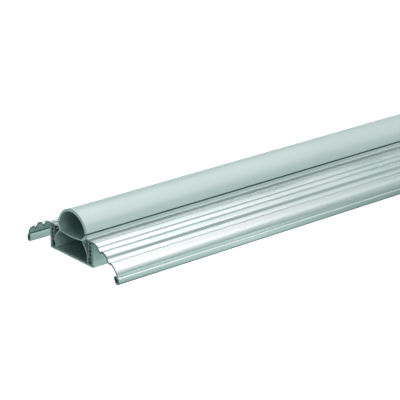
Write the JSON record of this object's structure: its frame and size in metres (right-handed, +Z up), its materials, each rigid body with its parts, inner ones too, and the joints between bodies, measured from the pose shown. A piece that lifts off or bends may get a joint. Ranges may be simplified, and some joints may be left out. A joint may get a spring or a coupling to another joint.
{
  "type": "door threshold",
  "caption": "Adjustable door threshold: an aluminium channel screwed to the floor, stepped ramps hooked into its toothed walls and a vinyl insert with a hollow sealing bulb.",
  "frame": {"origin": "under the middle of the threshold, at the level of the ramps' feet", "axes": "+Y along the threshold, +X across the doorway towards its outer side, +Z up"},
  "size_m": [0.0952, 0.9144, 0.0353],
  "materials": {
    "channel_metal": "mill finish, satin",
    "ramp_metal": "satin, with fine extrusion lines",
    "vinyl": "soft, matt grey"
  },
  "bodies": {
    "base": {"base_channel": "channel_metal", "vinyl_insert": "vinyl"},
    "inner_ramp_body": {"inner_ramp": "ramp_metal"},
    "outer_ramp_body": {"outer_ramp": "ramp_metal"}
  },
  "joints": [
    {"name": "inner_ramp_height", "type": "slide", "parent": "base", "child": "inner_ramp_body", "axis": [0, 0, 1], "range_m": [0, 0.00762]},
    {"name": "outer_ramp_height", "type": "slide", "parent": "base", "child": "outer_ramp_body", "axis": [0, 0, 1], "range_m": [0, 0.00762]}
  ]
}
